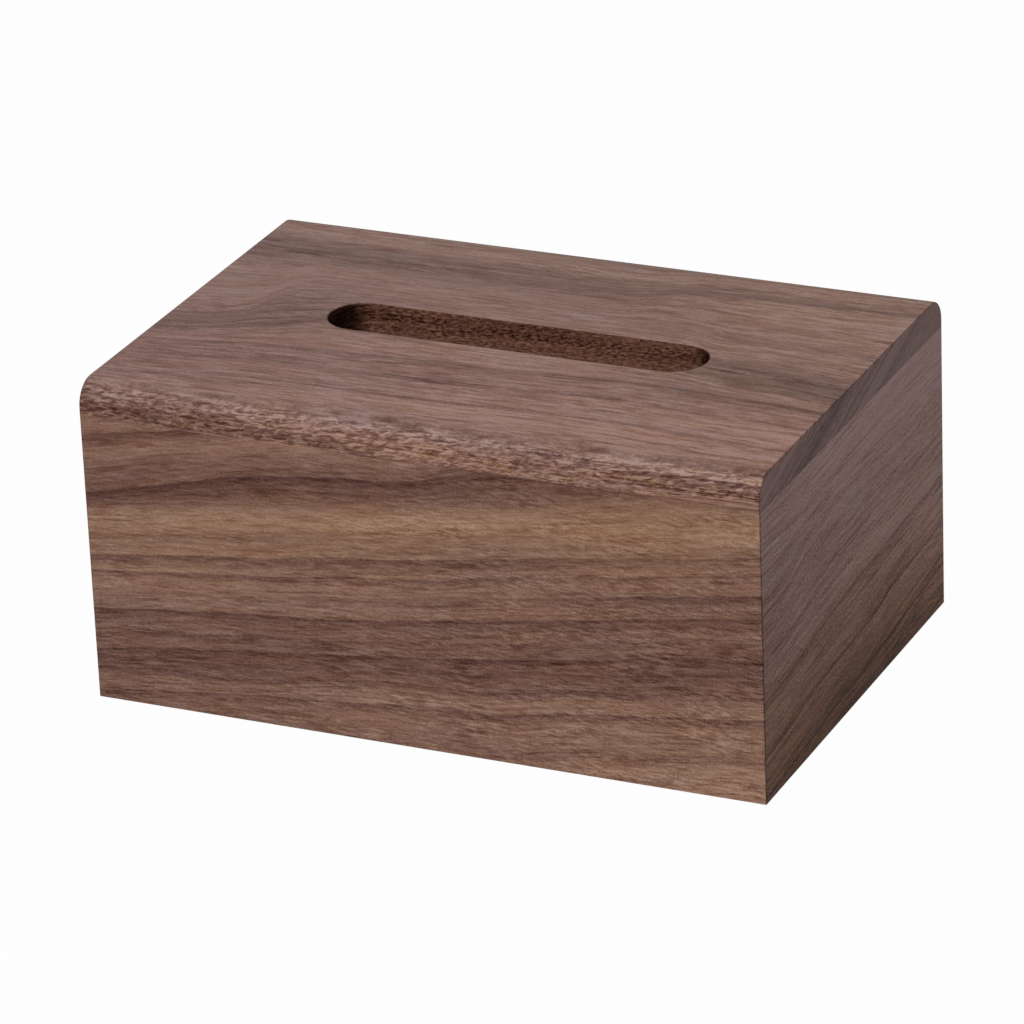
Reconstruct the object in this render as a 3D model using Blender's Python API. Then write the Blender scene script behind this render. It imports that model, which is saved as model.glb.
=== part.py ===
"""A tissue box cover of solid walnut: a slotted top board glued on a mitred frame of four boards.

The cover has no bottom and stands on the frame's rim, over a pack of tissues.
Metres, +Z up, the origin in the middle of the rim's plane, the front facing -Y.
"""

import math

import bmesh
import bpy
from mathutils import Matrix, Vector

# Overall sizes of the cover
COVER_WIDTH = 0.212
COVER_DEPTH = 0.1445
COVER_HEIGHT = 0.100

# Thickness of the planed stock
TOP_THICKNESS = 0.010
FRAME_THICKNESS = 0.010

# Top board: the rounding of its long edges and the slot that the tissues come through
EDGE_RADIUS = 0.0077
SLOT_LENGTH = 0.120
SLOT_WIDTH = 0.021
SLOT_SETBACK = 0.0018
SLOT_CHAMFER = 0.0004

# Easing of the arrises: upright corners and the top board's ends, then the rim
CORNER_RADIUS = 0.0005
RIM_RADIUS = 0.00025

# Joints: the clearance that a glued face keeps to its neighbour, the tongues and the dowels
GLUE_GAP = 0.0003
SPLINE_WIDTH_SHARE = 0.7
SPLINE_THICKNESS_SHARE = 0.2
SPLINE_PLACE_SHARE = 0.58
DOWEL_DIAMETER = 0.004
DOWEL_LENGTH = 0.012
DOWEL_CHAMFER = 0.0006
DOWEL_FLUTE_DEPTH = 0.0002
DOWEL_INSET = 0.032

# Limits that keep a radius inside the wall it rounds
EDGE_LIMIT_SHARE = 0.9
RIM_LIMIT_SHARE = 0.5

# How finely round shapes are divided
EDGE_STEPS = 20
CORNER_STEPS = 5
SLOT_STEPS = 36
HOLE_STEPS = 24
DOWEL_FLUTES = 10
STEPS_PER_FLUTE = 4

# Sizes that follow from those above
FRAME_HEIGHT = COVER_HEIGHT - TOP_THICKNESS - GLUE_GAP
EDGE_ROUNDING = min(EDGE_RADIUS, TOP_THICKNESS * EDGE_LIMIT_SHARE)
RIM_ROUNDING = min(RIM_RADIUS, CORNER_RADIUS * RIM_LIMIT_SHARE)
SPLINE_WIDTH = FRAME_THICKNESS * SPLINE_WIDTH_SHARE
SPLINE_THICKNESS = FRAME_THICKNESS * SPLINE_THICKNESS_SHARE
SPLINE_PLACE = FRAME_THICKNESS * math.sqrt(2) * SPLINE_PLACE_SHARE

# Finishes: base colour, roughness
WALNUT_TOP = ((0.205, 0.120, 0.094, 1.0), 0.45)
WALNUT_FRONT = ((0.195, 0.100, 0.070, 1.0), 0.48)
WALNUT_SIDE = ((0.150, 0.095, 0.080, 1.0), 0.48)
WALNUT_TONGUE = ((0.120, 0.065, 0.045, 1.0), 0.60)
BEECH = ((0.480, 0.330, 0.210, 1.0), 0.60)


def clear_scene():
    for old in list(bpy.data.objects):
        bpy.data.objects.remove(old)


def finish_of(name, colour_and_roughness):
    """A Principled material with one colour, not metallic."""
    colour, roughness = colour_and_roughness
    material = bpy.data.materials.new(name)
    material.use_nodes = True
    shader = material.node_tree.nodes["Principled BSDF"]
    shader.inputs["Base Color"].default_value = colour
    shader.inputs["Roughness"].default_value = roughness
    shader.inputs["Metallic"].default_value = 0.0
    material.diffuse_color = colour
    return material


def arc(centre, radius, start, end, steps):
    """Points on a circle from one angle to another, both ends included."""
    angles = [start + (end - start) * k / steps for k in range(steps + 1)]
    return [
        (centre[0] + radius * math.cos(a), centre[1] + radius * math.sin(a))
        for a in angles
    ]


def easing(radius, steps):
    """Depth below an end face and inset of its outline, from the face to the full outline."""
    angles = [math.pi / 2 * (1 - k / steps) for k in range(steps + 1)]
    return [(radius * (1 - math.sin(a)), radius * (1 - math.cos(a))) for a in angles]


def loft(name, rings):
    """A closed mesh through rings with as many points each, capped at both ends."""
    shape = bmesh.new()
    rows = [[shape.verts.new(Vector(point)) for point in ring] for ring in rings]
    count = len(rows[0])
    for low, high in zip(rows, rows[1:]):
        for k in range(count):
            after = (k + 1) % count
            shape.faces.new((low[k], low[after], high[after], high[k]))
    shape.faces.new(list(reversed(rows[0])))
    shape.faces.new(rows[-1])
    bmesh.ops.recalc_face_normals(shape, faces=shape.faces)
    mesh = bpy.data.meshes.new(name)
    shape.to_mesh(mesh)
    shape.free()
    return mesh


def place(name, mesh, root, location, turn=0.0):
    """An object at a place under the root, turned about the vertical."""
    body = bpy.data.objects.new(name, mesh)
    bpy.context.scene.collection.objects.link(body)
    body.parent = root
    body.location = location
    body.rotation_euler = (0, 0, turn)
    return body


def dress(body, material):
    """Gives a sub-part its material and shades its round faces smooth."""
    body.data.materials.append(material)
    body.data.shade_smooth()
    body.data.set_sharp_from_angle(angle=math.radians(30))


def cutter(name, mesh, root, location):
    """A shape that only cuts others."""
    tool = place(name, mesh, root, location)
    tool.hide_render = True
    tool.display_type = "WIRE"
    return tool


def cut(body, tool):
    """Subtracts a cutter from a body."""
    modifier = body.modifiers.new("Cut " + tool.name, "BOOLEAN")
    modifier.operation = "DIFFERENCE"
    modifier.solver = "EXACT"
    modifier.object = tool


def mitred_end(half_length, inset):
    """Plan of a frame board's right end, from its outer face to its inner face.

    The outer face lies on y = 0 and the mitre runs inwards at 45 degrees from x = half_length.
    The end has its half of the rounded corner, and a groove for the tongue. Both faces are
    drawn in by inset, which eases the rim.
    """
    radius = CORNER_RADIUS - inset
    centre = (half_length - CORNER_RADIUS, CORNER_RADIUS)
    short_of_mitre = math.asin(min(1.0, GLUE_GAP / 2 / radius))
    corner = arc(centre, radius, -math.pi / 2, -math.pi / 4 - short_of_mitre, CORNER_STEPS)

    inwards = Vector((-1, 1)).normalized()
    into_board = Vector((-1, -1)).normalized()
    tip = Vector((half_length, 0))
    near = SPLINE_PLACE - SPLINE_THICKNESS / 2 - GLUE_GAP
    far = SPLINE_PLACE + SPLINE_THICKNESS / 2 + GLUE_GAP
    face = GLUE_GAP / 2
    floor = SPLINE_WIDTH / 2 + GLUE_GAP
    groove = [
        tuple(tip + inwards * along + into_board * depth)
        for along, depth in ((near, face), (near, floor), (far, floor), (far, face))
    ]

    inner_y = FRAME_THICKNESS - inset
    inner = (half_length - GLUE_GAP / math.sqrt(2) - inner_y, inner_y)
    return corner + groove + [inner]


def frame_board_mesh(name, length):
    """A frame board standing on z = 0, its outer face on y = 0, its length along x."""
    levels = easing(RIM_ROUNDING, CORNER_STEPS) + [(FRAME_HEIGHT, 0.0)]
    rings = []
    for height, inset in levels:
        right = mitred_end(length / 2, inset)
        left = [(-x, y) for x, y in reversed(right)]
        rings.append([(x, y, height) for x, y in right + left])
    return loft(name, rings)


def top_profile(inset):
    """Section of the top board across its grain, its underside on z = 0."""
    half = COVER_DEPTH / 2
    radius = EDGE_ROUNDING - inset
    level = TOP_THICKNESS - EDGE_ROUNDING
    back = arc((half - EDGE_ROUNDING, level), radius, 0, math.pi / 2, EDGE_STEPS)
    front = arc((EDGE_ROUNDING - half, level), radius, math.pi / 2, math.pi, EDGE_STEPS)
    return [(inset - half, 0.0), (half - inset, 0.0)] + back + front


def top_board_mesh(name):
    """The top board without its slot and holes, its underside on z = 0."""
    eased = easing(CORNER_RADIUS, CORNER_STEPS)
    half = COVER_WIDTH / 2
    stations = [(depth - half, inset) for depth, inset in eased]
    stations += [(half - depth, inset) for depth, inset in reversed(eased)]
    rings = [[(x, y, z) for y, z in top_profile(inset)] for x, inset in stations]
    return loft(name, rings)


def stadium(length, width, growth, height, steps):
    """A level outline with two straight sides and half-round ends, grown outwards by growth."""
    reach = (length - width) / 2
    radius = width / 2 + growth
    right = arc((reach, 0), radius, -math.pi / 2, math.pi / 2, steps)
    left = arc((-reach, 0), radius, math.pi / 2, math.pi * 3 / 2, steps)
    return [(x, y, height) for x, y in right + left]


def slot_cutter_mesh(name):
    """The slot's space through the top board, widened by a chamfer at both faces."""
    beyond = TOP_THICKNESS / 2
    levels = (
        (-beyond, SLOT_CHAMFER + beyond),
        (SLOT_CHAMFER, 0.0),
        (TOP_THICKNESS - SLOT_CHAMFER, 0.0),
        (TOP_THICKNESS + beyond, SLOT_CHAMFER + beyond),
    )
    rings = [
        stadium(SLOT_LENGTH, SLOT_WIDTH, growth, height, SLOT_STEPS)
        for height, growth in levels
    ]
    return loft(name, rings)


def hole_cutter_mesh(name):
    """The space of one dowel, half above and half below z = 0."""
    radius = DOWEL_DIAMETER / 2 + GLUE_GAP
    reach = DOWEL_LENGTH / 2 + GLUE_GAP
    circle = arc((0, 0), radius, 0, math.tau, HOLE_STEPS)[:-1]
    return loft(name, [[(x, y, z) for x, y in circle] for z in (-reach, reach)])


def dowel_mesh(name):
    """A fluted dowel with chamfered ends, half above and half below z = 0."""
    reach = DOWEL_LENGTH / 2
    stations = (
        (-reach, DOWEL_CHAMFER),
        (DOWEL_CHAMFER - reach, 0.0),
        (reach - DOWEL_CHAMFER, 0.0),
        (reach, DOWEL_CHAMFER),
    )
    count = DOWEL_FLUTES * STEPS_PER_FLUTE
    rings = []
    for z, inset in stations:
        ring = []
        for k in range(count):
            angle = math.tau * k / count
            flute = DOWEL_FLUTE_DEPTH * (1 - math.cos(DOWEL_FLUTES * angle)) / 2
            radius = DOWEL_DIAMETER / 2 - inset - flute
            ring.append((radius * math.cos(angle), radius * math.sin(angle), z))
        rings.append(ring)
    return loft(name, rings)


def spline_mesh(name):
    """A loose tongue, flush with the rim and with the frame's top, its width along x."""
    shape = bmesh.new()
    size = Matrix.Diagonal((SPLINE_WIDTH, SPLINE_THICKNESS, FRAME_HEIGHT, 1.0))
    lift = Matrix.Translation((0, 0, FRAME_HEIGHT / 2))
    bmesh.ops.create_cube(shape, size=1.0, matrix=lift @ size)
    mesh = bpy.data.meshes.new(name)
    shape.to_mesh(mesh)
    shape.free()
    return mesh


def make_frame(root):
    """The four mitred boards, each with its own finish."""
    half_width = COVER_WIDTH / 2
    half_depth = COVER_DEPTH / 2
    quarter = math.pi / 2
    sides = (
        ("front_board", COVER_WIDTH, (0, -half_depth, 0), 0.0, WALNUT_FRONT),
        ("right_board", COVER_DEPTH, (half_width, 0, 0), quarter, WALNUT_SIDE),
        ("back_board", COVER_WIDTH, (0, half_depth, 0), 2 * quarter, WALNUT_FRONT),
        ("left_board", COVER_DEPTH, (-half_width, 0, 0), 3 * quarter, WALNUT_SIDE),
    )
    boards = {}
    for name, length, location, turn, finish in sides:
        board = place(name, frame_board_mesh(name, length), root, location, turn)
        dress(board, finish_of(name + "_walnut", finish))
        boards[name] = board
    return boards


def make_top_board(root):
    """The slotted board that lies on the frame."""
    level = COVER_HEIGHT - TOP_THICKNESS
    board = place("top_board", top_board_mesh("top_board"), root, (0, 0, level))
    dress(board, finish_of("top_board_walnut", WALNUT_TOP))
    slot = cutter("slot_cutter", slot_cutter_mesh("slot_cutter"), root, (0, SLOT_SETBACK, level))
    cut(board, slot)
    return board


def make_splines(root):
    """A tongue across each mitre, on the diagonal that leads in from the corner."""
    along = SPLINE_PLACE / math.sqrt(2)
    reach_x = COVER_WIDTH / 2 - along
    reach_y = COVER_DEPTH / 2 - along
    eighth = math.pi / 4
    corners = (
        ("front_left_spline", -reach_x, -reach_y, -eighth),
        ("front_right_spline", reach_x, -reach_y, eighth),
        ("back_right_spline", reach_x, reach_y, 3 * eighth),
        ("back_left_spline", -reach_x, reach_y, 5 * eighth),
    )
    mesh = spline_mesh("corner_spline")
    for name, x, y, turn in corners:
        spline = place(name, mesh.copy(), root, (x, y, 0), turn)
        dress(spline, finish_of(name + "_walnut", WALNUT_TONGUE))


def make_dowels(root, top, front, back):
    """Four dowels, two in each long board, and the holes that they stand in."""
    reach_x = COVER_WIDTH / 2 - DOWEL_INSET
    reach_y = COVER_DEPTH / 2 - FRAME_THICKNESS / 2
    level = COVER_HEIGHT - TOP_THICKNESS - GLUE_GAP / 2
    places = (
        ("front_left", -reach_x, -reach_y, front),
        ("front_right", reach_x, -reach_y, front),
        ("back_left", -reach_x, reach_y, back),
        ("back_right", reach_x, reach_y, back),
    )
    for corner, x, y, board in places:
        hole_name = corner + "_hole"
        hole = cutter(hole_name, hole_cutter_mesh(hole_name), root, (x, y, level))
        cut(top, hole)
        cut(board, hole)
        name = corner + "_dowel"
        dowel = place(name, dowel_mesh(name), root, (x, y, level))
        dress(dowel, finish_of(name + "_beech", BEECH))


def build():
    clear_scene()
    root = bpy.data.objects.new("tissue_box_cover", None)
    bpy.context.scene.collection.objects.link(root)
    boards = make_frame(root)
    top = make_top_board(root)
    make_splines(root)
    make_dowels(root, top, boards["front_board"], boards["back_board"])


build()
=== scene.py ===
# The looks of a walnut tissue box cover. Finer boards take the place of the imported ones, each
# with its own procedural walnut figure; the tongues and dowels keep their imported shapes.
# Lengths are in metres, and in millimetres inside the materials, where they say so.
import math

import bmesh
import bpy
from mathutils import Matrix, Vector


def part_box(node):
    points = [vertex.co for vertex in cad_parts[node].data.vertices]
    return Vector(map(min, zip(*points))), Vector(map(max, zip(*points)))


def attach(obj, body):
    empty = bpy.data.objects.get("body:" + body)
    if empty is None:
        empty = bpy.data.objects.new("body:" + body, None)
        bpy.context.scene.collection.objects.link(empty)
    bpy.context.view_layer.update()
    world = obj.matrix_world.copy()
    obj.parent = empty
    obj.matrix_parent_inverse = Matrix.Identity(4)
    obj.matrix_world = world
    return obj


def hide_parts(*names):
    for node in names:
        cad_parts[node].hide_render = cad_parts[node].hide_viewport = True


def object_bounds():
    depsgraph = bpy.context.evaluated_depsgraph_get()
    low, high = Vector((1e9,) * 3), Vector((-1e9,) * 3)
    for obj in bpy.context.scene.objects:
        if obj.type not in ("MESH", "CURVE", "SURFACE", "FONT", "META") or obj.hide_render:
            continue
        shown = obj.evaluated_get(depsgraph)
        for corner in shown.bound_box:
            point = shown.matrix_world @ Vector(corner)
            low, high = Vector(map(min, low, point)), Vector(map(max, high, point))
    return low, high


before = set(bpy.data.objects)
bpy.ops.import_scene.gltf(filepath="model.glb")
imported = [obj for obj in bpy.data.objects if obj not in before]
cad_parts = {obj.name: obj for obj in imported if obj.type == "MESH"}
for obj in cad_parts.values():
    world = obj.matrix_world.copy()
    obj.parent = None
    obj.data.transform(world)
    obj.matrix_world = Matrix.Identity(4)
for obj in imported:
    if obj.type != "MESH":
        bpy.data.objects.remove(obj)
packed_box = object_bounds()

MM = 0.001

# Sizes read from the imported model
LOW, HIGH = packed_box
WIDTH = HIGH.x - LOW.x
DEPTH = HIGH.y - LOW.y
HEIGHT = HIGH.z - LOW.z
JOINT_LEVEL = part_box("top_board")[0].z
DOWEL_LOW, DOWEL_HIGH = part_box("front_right_dowel")

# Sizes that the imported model's shapes share
BOARD = 10.0 * MM
EDGE_RADIUS = 7.7 * MM
CORNER_RADIUS = 0.5 * MM
RIM_RADIUS = 0.25 * MM
SLOT_LENGTH = 120.0 * MM
SLOT_WIDTH = 21.0 * MM
SLOT_SETBACK = 1.8 * MM
SLOT_ROUNDING = 0.5 * MM
TONGUE_WIDTH = 7.0 * MM
TONGUE_THICKNESS = 2.0 * MM

# The tongue's middle, along the mitre from its outer end
TONGUE_SHARE = 0.58
TONGUE_PLACE = BOARD * math.sqrt(2) * TONGUE_SHARE

# Clearances at a glued joint and round what is let into a board
GLUE_LINE = 0.04 * MM
LET_IN = 0.05 * MM

# How finely round shapes are divided
EDGE_STEPS = 40
CORNER_STEPS = 8
SLOT_STEPS = 64
HOLE_STEPS = 32
SMOOTH_ANGLE = math.radians(28)


# Meshes of the boards


def arc(centre, radius, start, end, steps):
    """Points on a circle from one angle to another, both ends included."""
    angles = [start + (end - start) * k / steps for k in range(steps + 1)]
    return [
        (centre[0] + radius * math.cos(a), centre[1] + radius * math.sin(a))
        for a in angles
    ]


def easing(radius, steps):
    """Depth below an end face and inset of its outline, from the face to the full outline."""
    angles = [math.pi / 2 * (1 - k / steps) for k in range(steps + 1)]
    return [(radius * (1 - math.sin(a)), radius * (1 - math.cos(a))) for a in angles]


def loft(name, rings):
    """A closed mesh through rings with as many points each, capped at both ends."""
    shape = bmesh.new()
    rows = [[shape.verts.new(Vector(point)) for point in ring] for ring in rings]
    count = len(rows[0])
    for low, high in zip(rows, rows[1:]):
        for k in range(count):
            after = (k + 1) % count
            shape.faces.new((low[k], low[after], high[after], high[k]))
    shape.faces.new(list(reversed(rows[0])))
    shape.faces.new(rows[-1])
    bmesh.ops.recalc_face_normals(shape, faces=shape.faces)
    mesh = bpy.data.meshes.new(name)
    shape.to_mesh(mesh)
    shape.free()
    return mesh


def link(name, mesh):
    """A new object of a mesh, in the scene."""
    body = bpy.data.objects.new(name, mesh)
    bpy.context.scene.collection.objects.link(body)
    return body


def mitred_end(half_length, inset):
    """Plan of a frame board's right end, from its outer face on y = 0 to its inner face."""
    radius = CORNER_RADIUS - inset
    centre = (half_length - CORNER_RADIUS, CORNER_RADIUS)
    short_of_mitre = math.asin(GLUE_LINE / 2 / radius)
    corner = arc(centre, radius, -math.pi / 2, -math.pi / 4 - short_of_mitre, CORNER_STEPS)
    inwards = Vector((-1, 1)).normalized()
    into_board = Vector((-1, -1)).normalized()
    tip = Vector((half_length, 0))
    near = TONGUE_PLACE - TONGUE_THICKNESS / 2 - LET_IN
    far = TONGUE_PLACE + TONGUE_THICKNESS / 2 + LET_IN
    face = GLUE_LINE / 2
    floor = TONGUE_WIDTH / 2 + LET_IN
    groove = [
        tuple(tip + inwards * along + into_board * depth)
        for along, depth in ((near, face), (near, floor), (far, floor), (far, face))
    ]
    inner_y = BOARD - inset
    inner = (half_length - GLUE_LINE / math.sqrt(2) - inner_y, inner_y)
    return corner + groove + [inner]


def frame_board_mesh(name, length):
    """A frame board standing on z = 0, its outer face on y = 0, its length along x."""
    rings = []
    for height, inset in easing(RIM_RADIUS, CORNER_STEPS) + [(JOINT_LEVEL - GLUE_LINE, 0.0)]:
        right = mitred_end(length / 2, inset)
        left = [(-x, y) for x, y in reversed(right)]
        rings.append([(x, y, height) for x, y in right + left])
    return loft(name, rings)


def top_profile(inset):
    """Section of the top board across its grain."""
    half = DEPTH / 2
    radius = EDGE_RADIUS - inset
    level = HEIGHT - EDGE_RADIUS
    back = arc((half - EDGE_RADIUS, level), radius, 0, math.pi / 2, EDGE_STEPS)
    front = arc((EDGE_RADIUS - half, level), radius, math.pi / 2, math.pi, EDGE_STEPS)
    return [(inset - half, JOINT_LEVEL), (half - inset, JOINT_LEVEL)] + back + front


def top_board_mesh(name):
    """The top board without its slot and holes."""
    eased = easing(CORNER_RADIUS, CORNER_STEPS)
    half = WIDTH / 2
    stations = [(depth - half, inset) for depth, inset in eased]
    stations += [(half - depth, inset) for depth, inset in reversed(eased)]
    return loft(name, [[(x, y, z) for y, z in top_profile(inset)] for x, inset in stations])


def stadium(growth, height):
    """The slot's outline at a height, grown outwards by growth."""
    reach = (SLOT_LENGTH - SLOT_WIDTH) / 2
    radius = SLOT_WIDTH / 2 + growth
    right = arc((reach, 0), radius, -math.pi / 2, math.pi / 2, SLOT_STEPS)
    left = arc((-reach, 0), radius, math.pi / 2, math.pi * 3 / 2, SLOT_STEPS)
    return [(x, y + SLOT_SETBACK, height) for x, y in right + left]


def slot_cutter_mesh(name):
    """The slot's space through the top board, with softly rounded arrises at both faces."""
    flare = math.radians(9)
    beyond = 0.4 * MM
    angles = [flare + (math.pi / 2 - flare) * k / CORNER_STEPS for k in range(CORNER_STEPS + 1)]
    flank = [
        (SLOT_ROUNDING * (1 - math.cos(a)), SLOT_ROUNDING * (1 - math.sin(a))) for a in angles
    ]
    first_depth, first_growth = flank[0]
    mouth = (-beyond, first_growth + (first_depth + beyond) / math.tan(flare))
    upper = [(HEIGHT - depth, growth) for depth, growth in [mouth] + flank]
    lower = [(JOINT_LEVEL + depth, growth) for depth, growth in reversed([mouth] + flank)]
    return loft(name, [stadium(growth, height) for height, growth in upper + lower])


def hole_cutter_mesh(name, x, y):
    """The space of one dowel, centred on the joint between the frame and the top board."""
    radius = (DOWEL_HIGH.x - DOWEL_LOW.x) / 2 + LET_IN
    circle = arc((x, y), radius, 0, math.tau, HOLE_STEPS)[:-1]
    levels = (DOWEL_LOW.z - LET_IN, DOWEL_HIGH.z + LET_IN)
    return loft(name, [[(px, py, z) for px, py in circle] for z in levels])


def carve(body, tools):
    """Cuts tools out of a body for good, and clears the cutting modifiers."""
    for tool in tools:
        modifier = body.modifiers.new("cut", "BOOLEAN")
        modifier.operation = "DIFFERENCE"
        modifier.solver = "EXACT"
        modifier.object = tool
    bpy.context.view_layer.update()
    graph = bpy.context.evaluated_depsgraph_get()
    carved = bpy.data.meshes.new_from_object(body.evaluated_get(graph))
    body.modifiers.clear()
    body.data = carved
    carved.name = body.name


def smooth(body):
    """Round faces shade round and flat faces shade flat."""
    body.data.shade_smooth()
    body.data.set_sharp_from_angle(angle=SMOOTH_ANGLE)
    weighted = body.modifiers.new("even_shading", "WEIGHTED_NORMAL")
    weighted.mode = "FACE_AREA"
    weighted.weight = 100
    weighted.keep_sharp = True


def hole_cutters(sides):
    """The spaces of both dowels on each of the sides: -1 for the front, 1 for the back."""
    reach_x = (DOWEL_LOW.x + DOWEL_HIGH.x) / 2
    reach_y = -(DOWEL_LOW.y + DOWEL_HIGH.y) / 2
    return [
        link("hole", hole_cutter_mesh("hole", turn * reach_x, side * reach_y))
        for side in sides
        for turn in (-1, 1)
    ]


def drop(tools):
    """Removes what has done its cutting."""
    for tool in tools:
        bpy.data.objects.remove(tool)


def make_frame_board(name, length, offset, quarter_turns, dowel_side=None):
    """One board of the mitred frame, in its place."""
    mesh = frame_board_mesh(name, length)
    turn = Matrix.Rotation(quarter_turns * math.pi / 2, 4, "Z")
    mesh.transform(turn @ Matrix.Translation((0, -offset, 0)))
    body = link(name, mesh)
    if dowel_side is not None:
        tools = hole_cutters([dowel_side])
        carve(body, tools)
        drop(tools)
    smooth(body)
    return body


def make_top_board():
    """The top board with its slot and its four dowel holes, in its place."""
    body = link("walnut_top", top_board_mesh("walnut_top"))
    tools = [link("slot", slot_cutter_mesh("slot"))] + hole_cutters((-1, 1))
    carve(body, tools)
    drop(tools)
    smooth(body)
    return body


# Walnut


# A colour for each tone. A tone is about the level of red, from 0 to 255, that the wood shows
# before its board's tint
TONE_LOW = 30.0
TONE_HIGH = 170.0
WALNUT_COLOURS = (
    (40, (0.022, 0.009, 0.007)),
    (60, (0.048, 0.021, 0.016)),
    (80, (0.084, 0.041, 0.032)),
    (100, (0.128, 0.066, 0.049)),
    (120, (0.186, 0.102, 0.074)),
    (140, (0.256, 0.147, 0.101)),
    (160, (0.335, 0.205, 0.145)),
)

# Gloss and relief of the oiled boards
WALNUT_ROUGHNESS = 0.48
WALNUT_SPECULAR = 0.015
WALNUT_RELIEF = 0.10 * MM
WALNUT_RELIEF_STRENGTH = 0.5

# Painted sheen: a thin pale veil mixed into the boards' colour, standing in for their glossy
# reflection. Its colour over the darkest wood and over the rest, its share on faces that look up
# or to a side, and what the share is changed by on faces that look to the front or the back
DARK_PAINTED_SHEEN = (0.90, 0.66, 0.46, 1.0)
PAINTED_SHEEN = (0.90, 0.72, 0.70, 1.0)
PAINTED_SHEEN_SHARE = 0.030
PAINTED_SHEEN_CHANGE = -0.025

# Tones at which the dark zones' tint starts, is full, and is full twice over
ZONE_START = 128.0
ZONE_DARK = 95.0
ZONE_DARKEST = 60.0

# How far hues and greens go to both sides, and how much the streaks change them
HUE_REACH = 1.5
STREAK_HUES = 4.2

# How far the fine grain's tone goes to both sides before its tints are full
FINE_REACH = 14.0

# What the end grain adds of the fine grain's tone
END_GRAIN_FINE = 0.6

# The height that a turned board's figure is counted down from, in millimetres
TURNED_FROM = 90.0

# Tints: what a colour is multiplied by
PURPLE_TINT = (0.96, 1.00, 1.14)
GOLDEN_TINT = (1.03, 1.02, 0.86)
GREEN_TINT = (0.99, 1.045, 1.0)
RED_TINT = (1.01, 0.955, 1.0)
FINE_DARK_TINT = (1.0, 0.935, 0.85)
FINE_LIGHT_TINT = (1.0, 1.035, 1.09)
END_GRAIN_TINT = (0.395, 0.403, 0.464)
# Painted shade on the eased arrises: the frame boards' and, darker, the top board's
ARRIS_PAINTED_SHADE = (0.6, 0.6, 0.6)
TOP_ARRIS_PAINTED_SHADE = (0.45, 0.45, 0.48)


class Board:
    """What a board's figure is drawn from, in millimetres.

    guides: growth lines, each a level and its points (along the grain, across the face).
    tones: between the rings, at the start, middle and end of the board, points (level, tone).
    rings: dark lines of the growth rings, sharp on one side: a level, how far the dark fades
    below it (above it, where negative) and its depth of tone at the start, middle and end.
    lean: how far the growth lines move across the face for each millimetre of depth.
    slant: how fast the pores' direction falls along the grain, at the start and per millimetre.
    grain: how short and how narrow the strands and pores are, beside the usual, and how much
    shorter they get past the board's middle.
    depths: how much the strands, threads, pores, grit and years change the tone.
    weave: points (along the grain, how strong the pores are there).
    hues: points (across the face, hue), from golden at -1.5 to purple at 1.5; drift: its change
    for each millimetre along the grain. greens: points (across the face, from red at -1.5 to
    green at 1.5).
    tint, dark_tint, dash_tint: of the board, of its dark zones and of the rings' dashes. The
    side boards' tones are drawn lighter than they look, and their tint takes them down.
    """

    def __init__(self, length, breadth, guides, tones, rings, lean, slant, grain, depths, weave, hues,
                 drift, greens, tint, dark_tint, dash_tint):
        self.length = length
        self.breadth = breadth
        self.guides = guides
        self.tones = tones
        self.rings = rings
        self.lean = lean
        self.slant = slant
        self.shortness, self.fineness, self.crowding = grain
        self.strand_depth, self.thread_depth, self.pore_depth = depths[:3]
        self.grit_depth, self.year_depth = depths[3:]
        self.weave = weave
        self.hues = hues
        self.hue_drift = drift
        self.greens = greens
        self.tint = tint
        self.dark_tint = dark_tint
        self.dash_tint = dash_tint


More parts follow.
